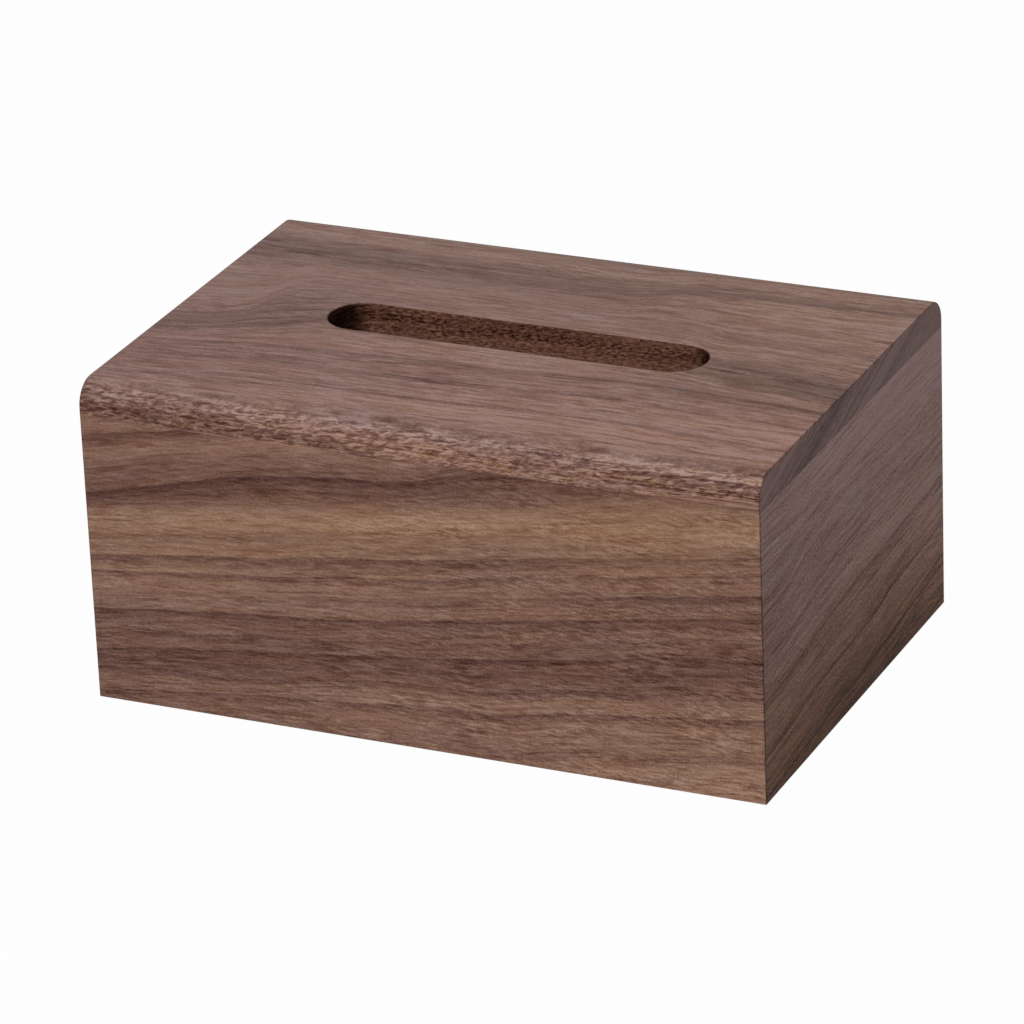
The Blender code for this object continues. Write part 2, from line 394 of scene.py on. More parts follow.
FRONT = Board(
    length=212.0,
    breadth=100.0,
    guides=(
        (12, ((0, 2), (20, 4.5), (45, 7.5), (80, 10.5), (110, 13.5), (130, 14.3), (150, 18),
              (180, 22), (212, 26))),
        (21, ((0, 10), (20, 12), (45, 13), (60, 15), (80, 17.8), (100, 20.2), (120, 20.8),
              (140, 24), (170, 28), (190, 31), (212, 33.5))),
        (28, ((0, 15), (20, 18), (40, 20.5), (60, 22.8), (80, 25.3), (100, 27.8), (120, 30),
              (140, 33), (160, 36), (180, 40), (200, 42.5), (212, 43.4))),
        (40, ((0, 28), (20, 30.5), (40, 32.6), (60, 34.5), (80, 36.5), (100, 39), (120, 42),
              (140, 45), (160, 48.5), (180, 52), (212, 57))),
        (59, ((0, 46), (20, 48.3), (40, 50.5), (60, 53), (80, 56), (100, 58.5), (120, 61.5),
              (140, 65), (160, 68), (180, 71), (212, 76))),
        (76, ((0, 62.5), (20, 65.5), (40, 69), (60, 71.5), (80, 73), (100, 75.5), (120, 79),
              (140, 81.5), (160, 84.5), (180, 88), (212, 93))),
        (82, ((0, 64.5), (10, 66.8), (20, 69.5), (40, 74.5), (50, 77), (60, 78.6), (80, 80.8),
              (100, 82.5), (110, 84.5), (120, 87.5), (130, 90), (160, 95), (212, 102))),
        (100, ((0, 83.8), (10, 85.6), (20, 87.6), (30, 89.5), (60, 96), (212, 120))),
    ),
    tones=(
        ((-14, 116), (9, 115), (16, 120), (22, 104), (26, 99), (31, 113), (36, 112), (44, 127),
         (51, 128), (56, 130), (62, 132), (65, 129), (70, 137), (73, 131), (76, 106), (80, 99),
         (84, 105), (90, 110), (94, 125), (98, 114), (104, 124)),
        ((-14, 118), (4, 125), (16, 130), (22, 110), (26, 102), (31, 111), (36, 112), (43, 126),
         (56, 125), (67, 128), (70, 148), (73, 140), (77, 109), (84, 107), (90, 130),
         (100, 135)),
        ((-14, 144), (-4, 142), (-1, 125), (3, 130), (16, 130), (22, 112), (26, 98), (31, 112),
         (36, 115), (43, 114), (51, 122), (56, 127), (61, 126), (65, 142), (70, 136),
         (76, 121), (82, 124), (85, 130), (90, 132)),
    ),
    rings=(
        (0.3, 2.5, 0, 10, 10), (12.4, 3.5, 16, 26, 28), (21.0, 3.0, 14, 15, 14),
        (25.0, 1.5, 3, 9, 7), (28.7, 2.0, 21, 20, 15), (33.6, 2.0, 18, 12, 8),
        (40.8, 4.0, 28, 27, 22), (47.6, 3.5, 4, 12, 27), (53.8, 2.5, 24, 20, 14),
        (59.4, 4.0, 28, 27, 18), (66.0, 2.0, 14, 3, 0), (79.2, 3.0, 10, 7, 18),
        (82.8, 4.5, 24, 26, 14), (100.1, 4.0, 21, 0, 0),
    ),
    lean=0.8,
    slant=(0.0, 0.0006),
    grain=(1.8, 1.0, 0.7),
    depths=(15.5, 22.5, 15.5, 10.0, 17.5),
    weave=((0, 0.8), (60, 0.85), (110, 1.0), (170, 1.2), (212, 1.1)),
    hues=((0, 0.35), (40, 0.3), (52, 0.1), (62, -0.3), (72, -0.5), (80, 0.0), (90, 0.2),
          (100, 0.1)),
    drift=-0.002,
    greens=((0, 0.0), (100, 0.0)),
    tint=(1.12, 1.132, 1.13),
    dark_tint=(1.0, 0.97, 1.0),
    dash_tint=(0.91, 1.05, 1.0),
)

TOP = Board(
    length=212.0,
    breadth=144.5,
    guides=(
        (0, ((0, 0), (106, 0), (212, 0))),
        (22, ((0, 16), (40, 21), (80, 22), (110, 23), (150, 25), (180, 23.5), (212, 22))),
        (48, ((0, 38), (20, 41), (30, 43), (50, 45.5), (70, 46.8), (90, 48), (110, 49),
              (130, 51), (150, 52.8), (165, 53), (180, 51.5), (212, 49.8))),
        (60, ((0, 47), (10, 50), (20, 53.5), (35, 60), (46, 66), (60, 67), (150, 66),
              (166, 64), (180, 61), (195, 59), (212, 57))),
        (80, ((0, 59), (10, 61), (18, 65), (22, 70), (24, 77), (28, 83), (35, 86), (45, 88),
              (60, 88), (150, 84), (166, 77), (180, 76.5), (195, 75), (212, 72))),
        (112, ((0, 110), (30, 110), (60, 111), (90, 112), (110, 112.5), (125, 114), (132, 117),
               (138, 120.5), (150, 122), (170, 123.5), (212, 124.5))),
        (126, ((0, 127), (30, 126.5), (60, 127), (90, 127.5), (105, 126.5), (118, 124.5),
               (125, 125), (135, 128), (150, 131), (180, 130.5), (212, 133))),
        (144, ((0, 144.5), (106, 144.5), (212, 144.5))),
    ),
    tones=(
        ((0, 137), (5, 137), (12, 145), (17, 126), (30, 135), (36, 127), (50, 135), (54, 134),
         (59, 119), (66, 115), (71, 120), (75, 124), (80, 132), (90, 139), (99, 142), (105, 142),
         (111, 128), (116, 119), (122, 124), (130, 146), (144, 142)),
        ((0, 133), (5, 136), (9, 138), (15, 157), (18, 156), (22, 138), (27, 142), (32, 132),
         (35, 131), (40, 135), (44, 131), (49, 140), (52, 147), (57, 146), (62, 130), (80, 137),
         (88, 138), (98, 138), (106, 133), (111, 126), (116, 122), (121, 121), (126, 139),
         (130, 143), (134, 136), (144, 142)),
        ((0, 143), (5, 134), (13, 148), (16, 155), (21, 143), (30, 155), (36, 142), (42, 134),
         (48, 128), (52, 131), (57, 132), (62, 110), (74, 107), (78, 117), (82, 132), (88, 140),
         (91, 136), (97, 144), (110, 150), (114, 129), (118, 128), (123, 132), (127, 147),
         (134, 138), (144, 145)),
    ),
    rings=(
        (5.4, 2.5, 0, 4, 12), (22.0, 3.0, 0, 18, 16), (36.4, 3.0, 6, 18, 8),
        (48.3, 4.0, 14, 22, 22), (60.5, 1.5, 5, 0, 10), (64.8, 2.0, 5, 0, 9),
        (70.0, 2.0, 0, 0, 9), (74.5, 2.0, 6, 0, 8), (80.5, 2.5, 12, 0, 0), (92.8, 2.5, 0, 4, 14),
        (99.5, 2.0, 6, 4, 6), (111.6, -6.0, 0, 9, 18), (117.2, 3.0, 9, 9, 6),
        (121.2, 2.0, 8, 6, 0), (125.5, 3.0, 6, 6, 10),
    ),
    lean=3.5,
    slant=(0.02, 0.0),
    grain=(1.1, 0.6, 0.0),
    depths=(23.5, 21.5, 15.0, 7.5, 19.0),
    weave=((0, 0.8), (100, 0.8), (212, 1.1)),
    hues=((0, 0.6), (30, 0.9), (50, 0.9), (75, 1.2), (130, 1.3), (144.5, 1.2)),
    drift=-0.005,
    greens=((0, -0.2), (30, -0.4), (50, 0.0), (68, 1.2), (82, 0.7), (100, 0.9), (125, 1.3),
            (144.5, 1.2)),
    tint=(1.003, 0.986, 1.095),
    dark_tint=(0.94, 1.03, 0.99),
    dash_tint=(0.95, 1.03, 0.98),
)

SIDE = Board(
    length=144.5,
    breadth=100.0,
    guides=(
        (6, ((0, 1), (20, 2.5), (45, 5), (60, 6.5), (80, 7), (100, 8.5), (120, 11),
             (144.5, 12.5))),
        (21, ((0, 14.5), (15, 16), (40, 19), (50, 20), (70, 21), (90, 22.6), (100, 24.5),
              (110, 25.5), (130, 26.5), (144.5, 28))),
        (36, ((0, 30), (15, 31), (25, 32.5), (40, 34.2), (50, 35.5), (75, 37.5), (100, 39),
              (120, 40), (144.5, 41))),
        (50, ((0, 44), (20, 45), (45, 48), (60, 49.5), (80, 50.5), (100, 51.2), (144.5, 52.5))),
        (67, ((0, 61), (20, 62.5), (30, 65.5), (40, 67.5), (60, 68.5), (90, 68), (110, 67.5),
              (144.5, 70))),
        (79, ((0, 78), (30, 77), (50, 78.5), (80, 79.7), (110, 80), (144.5, 79))),
        (88, ((0, 85), (30, 84.5), (60, 86.5), (75, 87.5), (144.5, 89))),
    ),
    # The tones fall towards the low levels, at the board's bottom: painted shade, darker towards the
    # floor, over the figure
    tones=(
        ((-10, 70), (5, 80), (9, 90), (12, 96), (19, 108), (21, 107), (26, 110), (34, 109),
         (38, 110), (43, 121), (49, 119), (56, 122), (66, 122), (70, 128), (76, 133), (88, 136)),
        ((-10, 62), (1, 68), (4, 84), (9, 90), (14, 97), (19, 109), (22, 109), (25, 116),
         (33, 120), (38, 121), (42, 138), (50, 137), (56, 136), (66, 140), (74, 149), (80, 153),
         (88, 159)),
        ((-10, 78), (-4, 89), (4, 109), (9, 112), (14, 122), (19, 135), (22, 133), (26, 140),
         (34, 139), (38, 139), (43, 148), (52, 144), (60, 144), (66, 149), (70, 158), (78, 168),
         (88, 172)),
    ),
    rings=(
        (6.2, 1.2, -6, -6, -8), (6.4, -4.0, 10, 10, 14), (6.5, -1.0, 22, 22, 22),
        (12.5, 1.5, 8, 0, 6), (20.2, 1.2, -8, -8, -8), (20.3, -5.0, 16, 16, 16),
        (20.5, -1.0, 26, 26, 26), (28.5, 1.5, 5, 5, 0),
        (37.3, 3.5, 18, 20, 14), (37.4, 0.7, 12, 15, 12), (50.9, 0.9, 23, 19, 15),
        (58.8, -1.2, 12, 10, 10), (64.0, 0.7, 10, 8, 10), (69.0, 0.8, 16, 16, 17),
        (74.0, 0.8, 12, 15, 14), (79.8, 0.8, 20, 21, 22), (83.6, 0.7, 9, 12, 12),
        (87.4, 0.8, 16, 17, 18),
    ),
    lean=1.2,
    slant=(0.0, 0.0004),
    grain=(0.75, 0.72, 0.0),
    depths=(23.0, 34.0, 13.5, 23.0, 15.0),
    weave=((0, 0.7), (100, 0.8), (144.5, 1.2)),
    hues=((0, -1.5), (15, -1.4), (40, -0.1), (60, 0.5), (85, 1.5), (100, 1.5)),
    drift=0.002,
    greens=((0, -1.2), (20, -0.6), (40, 0.6), (90, 0.7), (100, 0.3)),
    tint=(0.627, 0.615, 0.722),
    dark_tint=(1.0, 0.90, 0.60),
    dash_tint=(1.05, 0.96, 0.86),
)

# Highest and lowest level that a guide or a tone can have
LEVEL_LOW = -30.0
LEVEL_HIGH = 160.0


class Graph:
    """A new material, and a writer of its nodes: each method returns the socket of its result."""

    def __init__(self, name, roughness, specular):
        self.material = bpy.data.materials.new(name)
        self.material.use_nodes = True
        self.tree = self.material.node_tree
        self.shader = self.tree.nodes["Principled BSDF"]
        self.shader.inputs["Roughness"].default_value = roughness
        self.shader.inputs["Specular IOR Level"].default_value = specular
        self.place = self.node("ShaderNodeTexCoord")

    def node(self, kind):
        return self.tree.nodes.new(kind)

    def feed(self, socket, value):
        """Links a socket's value, or sets a number or colour."""
        if isinstance(value, bpy.types.NodeSocket):
            self.tree.links.new(value, socket)
        else:
            socket.default_value = value

    def math(self, operation, a, b=0.0, c=0.0):
        node = self.node("ShaderNodeMath")
        node.operation = operation
        for socket, value in zip(node.inputs, (a, b, c)):
            self.feed(socket, value)
        return node.outputs[0]

    def add(self, a, b):
        return self.math("ADD", a, b)

    def times(self, a, b):
        return self.math("MULTIPLY", a, b)

    def minus(self, a, b):
        return self.math("SUBTRACT", a, b)

    def linear(self, a, factor, offset):
        """a times the factor, plus the offset."""
        return self.math("MULTIPLY_ADD", a, factor, offset)

    def join(self, x, y, z):
        node = self.node("ShaderNodeCombineXYZ")
        for socket, value in zip(node.inputs, (x, y, z)):
            self.feed(socket, value)
        return node.outputs[0]

    def split(self, vector):
        node = self.node("ShaderNodeSeparateXYZ")
        self.feed(node.inputs[0], vector)
        return node.outputs

    def spread(self, value, low, high, new_low=0.0, new_high=1.0, smooth=False):
        """Maps a range of values on another, and holds what lies outside it."""
        node = self.node("ShaderNodeMapRange")
        node.interpolation_type = "SMOOTHSTEP" if smooth else "LINEAR"
        for socket, given in zip(node.inputs, (value, low, high, new_low, new_high)):
            self.feed(socket, given)
        return node.outputs[0]

    def curve(self, value, points, x_range, y_range, handle="AUTO_CLAMPED"):
        """A drawn value: a curve through given points, with the ranges that it spans."""
        node = self.node("ShaderNodeFloatCurve")
        width = x_range[1] - x_range[0]
        height = y_range[1] - y_range[0]
        line = node.mapping.curves[0]
        placed = [((x - x_range[0]) / width, (y - y_range[0]) / height) for x, y in points]
        for x, y in placed[1:-1]:
            line.points.new(x, y)
        line.points[0].location = placed[0]
        line.points[len(placed) - 1].location = placed[-1]
        for point in line.points:
            point.handle_type = handle
        node.mapping.update()
        self.feed(node.inputs["Value"], self.linear(value, 1 / width, -x_range[0] / width))
        return self.linear(node.outputs[0], height, y_range[0])

    def noise(self, vector, detail=2.0, roughness=0.5, distortion=0.0):
        """Fractal noise about zero, mostly between -0.3 and 0.3."""
        node = self.node("ShaderNodeTexNoise")
        self.feed(node.inputs["Vector"], vector)
        node.inputs["Scale"].default_value = 1.0
        node.inputs["Detail"].default_value = detail
        node.inputs["Roughness"].default_value = roughness
        node.inputs["Distortion"].default_value = distortion
        return self.minus(node.outputs["Fac"], 0.5)

    def crisp(self, noise, width):
        """Noise whose ups and downs are drawn out to nearly -1 and 1."""
        return self.spread(noise, -width, width, -1.0, 1.0, smooth=True)

    def mix(self, factor, a, b, kind="MIX"):
        """Blend of two colours."""
        node = self.node("ShaderNodeMix")
        node.data_type = "RGBA"
        node.blend_type = kind
        self.feed(node.inputs[0], factor)
        self.feed(node.inputs[6], a)
        self.feed(node.inputs[7], b)
        return node.outputs[2]

    def tint(self, factor, colour, by):
        """A colour multiplied by another, as far as the factor says."""
        return self.mix(factor, colour, (*by, 1.0), "MULTIPLY")

    def walnut_colour(self, tone):
        """The colour of a tone, from WALNUT_COLOURS."""
        node = self.node("ShaderNodeValToRGB")
        ramp = node.color_ramp
        span = TONE_HIGH - TONE_LOW
        while len(ramp.elements) < len(WALNUT_COLOURS):
            ramp.elements.new(0.5)
        for element, (level, colour) in zip(ramp.elements, WALNUT_COLOURS):
            element.position = (level - TONE_LOW) / span
            element.color = (*colour, 1.0)
        self.feed(node.inputs[0], self.linear(tone, 1 / span, -TONE_LOW / span))
        return node.outputs[0]

    def bump(self, height, distance, strength):
        """Lets the light fall as on a relief."""
        node = self.node("ShaderNodeBump")
        node.inputs["Strength"].default_value = strength
        node.inputs["Distance"].default_value = distance
        self.feed(node.inputs["Height"], height)
        self.feed(self.shader.inputs["Normal"], node.outputs[0])


def axis(graph, socket, sign, origin):
    """A coordinate in millimetres, counted from an origin in metres in the sign's direction."""
    return graph.linear(socket, sign / MM, -sign * origin / MM)


def growth_level(graph, along, across, board):
    """Levels across the growth lines: one value all along a guide, evenly spread between two."""
    reach = (0.0, board.length)
    span = (LEVEL_LOW, LEVEL_HIGH)
    drawn = [graph.curve(along, points, reach, span) for level, points in board.guides]
    levels = [level for level, points in board.guides]
    below = graph.math("MINIMUM", graph.minus(across, drawn[0]), 0.0)
    above = graph.math("MAXIMUM", graph.minus(across, drawn[-1]), 0.0)
    total = graph.add(graph.add(below, above), float(levels[0]))
    for k in range(len(levels) - 1):
        step = float(levels[k + 1] - levels[k])
        total = graph.add(total, graph.spread(across, drawn[k], drawn[k + 1], 0.0, step))
    return total


def stations(graph, along, board):
    """How far a point lies from a board's start to its middle, and from there to its end."""
    half = board.length / 2
    first = graph.spread(along, 0.06 * board.length, half, smooth=True)
    second = graph.spread(along, half, 0.96 * board.length, smooth=True)
    return first, second


def drawn_tone(graph, along, level, board):
    """The drawn tone at a level, between the board's start, middle and end."""
    span = (LEVEL_LOW, LEVEL_HIGH)
    tones = (TONE_LOW, TONE_HIGH)
    held = []
    for points in board.tones:
        full = [(LEVEL_LOW, points[0][1]), *points, (LEVEL_HIGH, points[-1][1])]
        held.append(graph.curve(level, full, span, tones, "VECTOR"))
    first, second = stations(graph, along, board)
    start = graph.linear(graph.minus(held[1], held[0]), first, held[0])
    return graph.linear(graph.minus(held[2], start), second, start)


def ring_tone(graph, u, level, seed, board):
    """How much the growth rings darken a point, and how dull it is: they break up into dashes."""
    first, second = stations(graph, u, board)
    waver = graph.noise(graph.join(graph.times(u, 0.11), graph.times(level, 0.4), seed + 5.0))
    dashes = graph.noise(
        graph.join(graph.times(u, 0.20), graph.times(level, 0.9), seed + 6.0), 3.0, 0.7
    )
    level = graph.linear(waver, 0.9, level)
    total = 0.0
    for place, fade, start, middle, end in board.rings:
        side = math.copysign(1.0, fade)
        beyond = graph.linear(level, -side, side * place)
        depth = graph.linear(first, float(middle - start), float(start))
        depth = graph.linear(second, float(end - middle), depth)
        dark = graph.times(
            graph.spread(beyond, 0.2, abs(fade), 1.0, 0.0),
            graph.spread(beyond, -0.45, 0.1, smooth=True),
        )
        total = graph.linear(dark, depth, total)
    dull = graph.times(graph.spread(dashes, 0.02, 0.18), graph.spread(total, 6.0, 20.0))
    return graph.times(total, graph.spread(dashes, -0.14, 0.14, 0.75, 1.35)), dull


def grain_tone(graph, tone, u, d, level, leaning, seed, board):
    """Adds the fine grain to a drawn tone, and returns the tone, the grain alone and the relief."""
    fall = graph.linear(u, board.slant[1] / 2, board.slant[0])
    fibre = graph.linear(u, fall, leaning)
    past = graph.math("MAXIMUM", graph.linear(u, 1.0, -board.length / 2), 0.0)
    crowded = graph.linear(past, board.crowding, u)

    def layer(along, across, detail, roughness, distortion=0.0, ring=True):
        if ring:
            place = graph.join(graph.times(u, along * board.shortness),
                               graph.times(level, across * board.fineness), seed + across)
        else:
            place = graph.join(graph.times(crowded, along),
                               graph.times(fibre, across * board.fineness),
                               graph.times(d, 0.9 * across))
        return graph.noise(place, detail, roughness, distortion)

    years = layer(0.010, 0.75, 3.0, 0.6)
    strands = graph.crisp(layer(0.034, 1.05, 5.0, 0.80), 0.24)
    woven = graph.curve(u, board.weave, (0.0, board.length), (0.0, 2.0))
    woven = graph.times(woven, graph.spread(layer(0.03, 0.18, 2.0, 0.5), -0.14, 0.16, 0.45, 1.4))
    pores = graph.crisp(layer(0.13, 1.05, 4.0, 0.78, 0.2, ring=False), 0.17)
    grit = graph.crisp(layer(0.9, 2.0, 2.0, 0.7, ring=False), 0.22)
    thread = graph.math("ABSOLUTE", layer(0.012, 0.46, 3.0, 0.55))
    thread = graph.spread(thread, 0.0, 0.05, 1.0, 0.0)
    broken = graph.spread(layer(0.05, 0.35, 2.0, 0.5), -0.05, 0.10)

    grain = graph.linear(grit, board.grit_depth, graph.times(strands, board.strand_depth))
    grain = graph.linear(graph.times(pores, woven), board.pore_depth, grain)
    grain = graph.linear(graph.times(thread, broken), -board.thread_depth, grain)
    grain = graph.times(grain, graph.spread(level, 10.0, 90.0, 1.18, 0.86))
    tone = graph.add(graph.linear(years, board.year_depth, tone), grain)
    relief = graph.linear(grit, 0.03, graph.times(pores, 0.08))
    return tone, grain, relief


# Tone added on the top board's rounded edges, partly the wood's figure and partly painted shade that
# darkens the rounding where it faces the lamps: places along it in millimetres from its middle,
# each with points (millimetres up the rounding from its lower end, tone)
EDGE_FIGURE_AND_PAINTED_SHADE = (
    (-85, ((-2.3, -9), (-1, -18), (0, -27), (1.4, -35), (2.8, -29), (4.3, -17), (6, -19),
           (7.5, -12), (9, -19), (12, -3))),
    (-40, ((-2.3, 32), (-0.9, -31), (0.3, -36), (1.4, -13), (2.8, -20), (4.3, -18), (6, -11),
           (7.5, -4), (9, -8), (12, 4))),
    (0, ((-2.3, -14), (-0.9, -9), (0.2, 3), (1.4, -6), (2.8, -28), (4.3, -23), (6, -7),
         (7.5, -19), (9, -24), (12, -7))),
    (45, ((-2.3, -68), (-0.9, -12), (0.2, -12), (1.4, -28), (2.8, -36), (4.3, -30), (6, -27),
          (7.5, -9), (9, -12), (12, 6))),
    (85, ((-2.3, -36), (-0.9, -25), (0.2, -20), (1.4, -33), (2.8, -40), (4.3, -45), (6, -1),
          (7.5, -2), (9, -18), (12, -11))),
)
EDGE_CLIMB = (-2.3, 12.0)
EDGE_SHADE_RANGE = (-70.0, 35.0)

# How much the flecks change the tone, towards the left and towards the right, and the painted glints:
# light spots that stand in for highlights
FLECKS_LEFT = 34.0
FLECKS_RIGHT = 36.0
PAINTED_GLINT_TONE = 34.0
FLECK_RELIEF = 0.5

# Tints of the rounded edges: all over, low down, low on the left, in patches low down, higher up,
# and of light and dark flecks
EDGE_TINT = (1.0, 1.035, 1.02)
EDGE_LOW_TINT = (1.07, 1.07, 1.07)
EDGE_WARM_TINT = (1.0, 0.94, 0.84)
EDGE_PATCH_TINT = (1.0, 1.08, 0.74)
EDGE_HIGH_TINT = (1.0, 1.07, 1.13)
FLECK_LIGHT_TINT = (1.0, 1.03, 1.06)
FLECK_DARK_TINT = (1.03, 0.94, 0.86)


def edge_place(graph, place, facing):
    """Place on a rounded edge: along it, up it, and how surely a point lies there."""
    x = graph.times(place[0], 1 / MM)
    up = graph.linear(place[2], 1 / MM, -(HEIGHT - EDGE_RADIUS) / MM)
    out = graph.linear(graph.math("ABSOLUTE", place[1]), 1 / MM, -(DEPTH / 2 - EDGE_RADIUS) / MM)
    turn = graph.math("ARCTAN2", graph.math("MAXIMUM", up, 0.0), graph.math("MAXIMUM", out, 0.02))
    climb = graph.linear(turn, EDGE_RADIUS / MM, graph.math("MINIMUM", up, 0.0))
    on_edge = graph.times(
        graph.spread(out, -0.3, 0.3),
        graph.spread(graph.math("ABSOLUTE", facing[0]), 0.5, 0.8, 1.0, 0.0),
    )
    return x, climb, on_edge


def edge_figure_and_painted_shade(graph, x, climb):
    """The tone that the rounding adds, figure and painted shade, between the listed places."""
    places = [float(place) for place, points in EDGE_FIGURE_AND_PAINTED_SHADE]
    drawn = [
        graph.curve(climb, points, EDGE_CLIMB, EDGE_SHADE_RANGE) for place, points in EDGE_FIGURE_AND_PAINTED_SHADE
    ]
    shade = drawn[0]
    for k in range(1, len(drawn)):
        share = graph.spread(x, places[k - 1], places[k], smooth=True)
        shade = graph.linear(graph.minus(drawn[k], shade), share, shade)
    return shade


def edge_flecks(graph, x, climb):
    """Wavy dashes where the grain is cut at a slant, from about -1 to 1, and small painted glints."""
    lower = graph.spread(x, 60.0, 106.0, -2.5, 0.4, smooth=True)
    band = graph.times(
        graph.spread(graph.minus(climb, lower), 0.0, 1.2, smooth=True),
        graph.spread(climb, 5.8, 10.8, 1.0, 0.0, smooth=True),
    )
    slanted = graph.linear(x, -0.11, climb)
    dashes = graph.noise(
        graph.join(graph.times(x, 0.30), graph.times(slanted, 1.0), 4.0), 3.0, 0.58, 0.9
    )
    dashes = graph.crisp(dashes, 0.19)
    painted_glints = graph.noise(
        graph.join(graph.times(x, 0.42), graph.times(slanted, 1.5), 11.0), 1.5, 0.5, 0.8
    )
    painted_glints = graph.times(graph.spread(painted_glints, 0.09, 0.3), graph.spread(climb, 2.0, 5.0))
    return graph.times(dashes, band), graph.times(painted_glints, band)


def worked_edge(graph, tone, relief, colour_of, place, facing):
    """The top board's rounded edges: their tone, flecks and colours."""
    x, climb, on_edge = edge_place(graph, place, facing)
    dashes, painted_glints = edge_flecks(graph, x, climb)
    strength = graph.spread(x, -60.0, 60.0, FLECKS_LEFT, FLECKS_RIGHT)
    added = graph.add(edge_figure_and_painted_shade(graph, x, climb), graph.times(dashes, strength))
    # Painted highlight: the glints lighten the tone in small spots
    added = graph.linear(painted_glints, PAINTED_GLINT_TONE, added)
    tone = graph.linear(added, on_edge, tone)
    relief = graph.linear(graph.times(dashes, on_edge), FLECK_RELIEF, relief)
    colour = graph.tint(on_edge, colour_of(tone), EDGE_TINT)
    low = graph.times(graph.spread(climb, 2.0, 5.0, 1.0, 0.0, smooth=True), on_edge)
    colour = graph.tint(low, colour, EDGE_LOW_TINT)
    warm = graph.times(low, graph.spread(x, -50.0, 20.0, 1.0, 0.55))
    colour = graph.tint(warm, colour, EDGE_WARM_TINT)
    patches = graph.noise(graph.join(graph.times(x, 0.09), graph.times(climb, 0.5), 21.0), 2.0)
    golden = graph.times(graph.spread(patches, 0.05, 0.25), low)
    colour = graph.tint(golden, colour, EDGE_PATCH_TINT)
    high = graph.times(graph.spread(climb, 4.0, 6.0), graph.spread(climb, 8.0, 11.0, 1.0, 0.0))
    high = graph.times(high, graph.times(on_edge, graph.spread(x, -60.0, 80.0, 0.2, 1.0)))
    colour = graph.tint(high, colour, EDGE_HIGH_TINT)
    light = graph.times(graph.spread(dashes, 0.1, 0.9), on_edge)
    colour = graph.tint(light, colour, FLECK_LIGHT_TINT)
    dark = graph.times(graph.spread(dashes, -0.1, -0.9), on_edge)
    colour = graph.tint(dark, colour, FLECK_DARK_TINT)
    return colour, relief


# Tone of the slot's walls: points (millimetres below the top, tone), and the ranges they span
WALL_TONES = ((0, 72), (2.3, 72), (3.4, 61), (4.7, 62), (6, 76), (10, 88))
WALL_DEPTH = (0.0, 10.0)
WALL_TONE_RANGE = (40.0, 140.0)

# Colours of a wall's darkest and lightest tones, and the tint of the walls at the slot's round ends,
# where they cut across the grain: end grain with painted shade
WALL_DARK = (0.021, 0.004, 0.001, 1.0)
WALL_LIGHT = (0.24, 0.114, 0.079, 1.0)
WALL_END_GRAIN_AND_SHADE_TINT = (0.14, 0.12, 0.10)


def slot_walls(graph, colour, place, facing):
    """The slot's walls: brown and specked, and nearly black at the round ends: end grain, darkened
    further by painted shade.
    """
    x = graph.times(place[0], 1 / MM)
    off = graph.math("ABSOLUTE", graph.linear(place[1], 1 / MM, -SLOT_SETBACK / MM))
    reach = SLOT_WIDTH / 2 / MM
    inside = graph.spread(off, reach + 0.2, reach + 1.0, 1.0, 0.0)
    steep = graph.spread(graph.math("ABSOLUTE", facing[2]), 0.35, 0.75, 1.0, 0.0)
    wall = graph.times(inside, steep)
    end = SLOT_LENGTH / 2 / MM
    wall = graph.times(wall, graph.spread(graph.math("ABSOLUTE", x), end + 1, end + 2, 1.0, 0.0))
    down = graph.linear(place[2], -1 / MM, HEIGHT / MM)
    slanted = graph.linear(x, 0.05, down)
    specks = graph.noise(
        graph.join(graph.times(x, 0.55), graph.times(slanted, 1.5), 7.0), 3.0, 0.75, 0.4
    )
    broad = graph.noise(graph.join(graph.times(x, 0.02), graph.times(slanted, 0.35), 2.0), 2.0)
    wall_tone = graph.curve(down, WALL_TONES, WALL_DEPTH, WALL_TONE_RANGE)
    wall_tone = graph.linear(broad, 60.0, graph.linear(x, 0.10, wall_tone))
    wall_tone = graph.linear(graph.crisp(specks, 0.2), 30.0, wall_tone)
    bright = graph.times(graph.spread(specks, 0.04, 0.28), graph.spread(down, 2.0, 8.0, 16.0, 50.0))
    wall_tone = graph.add(wall_tone, bright)
    wall_colour = graph.mix(graph.spread(wall_tone, 40.0, 120.0), WALL_DARK, WALL_LIGHT)
    # End grain with painted shade: the round ends, which face along the slot, nearly black
    across = graph.spread(graph.math("ABSOLUTE", facing[0]), 0.2, 0.75, 0.0, 1.0, smooth=True)
    wall_colour = graph.tint(across, wall_colour, WALL_END_GRAIN_AND_SHADE_TINT)
    return graph.mix(wall, colour, wall_colour)


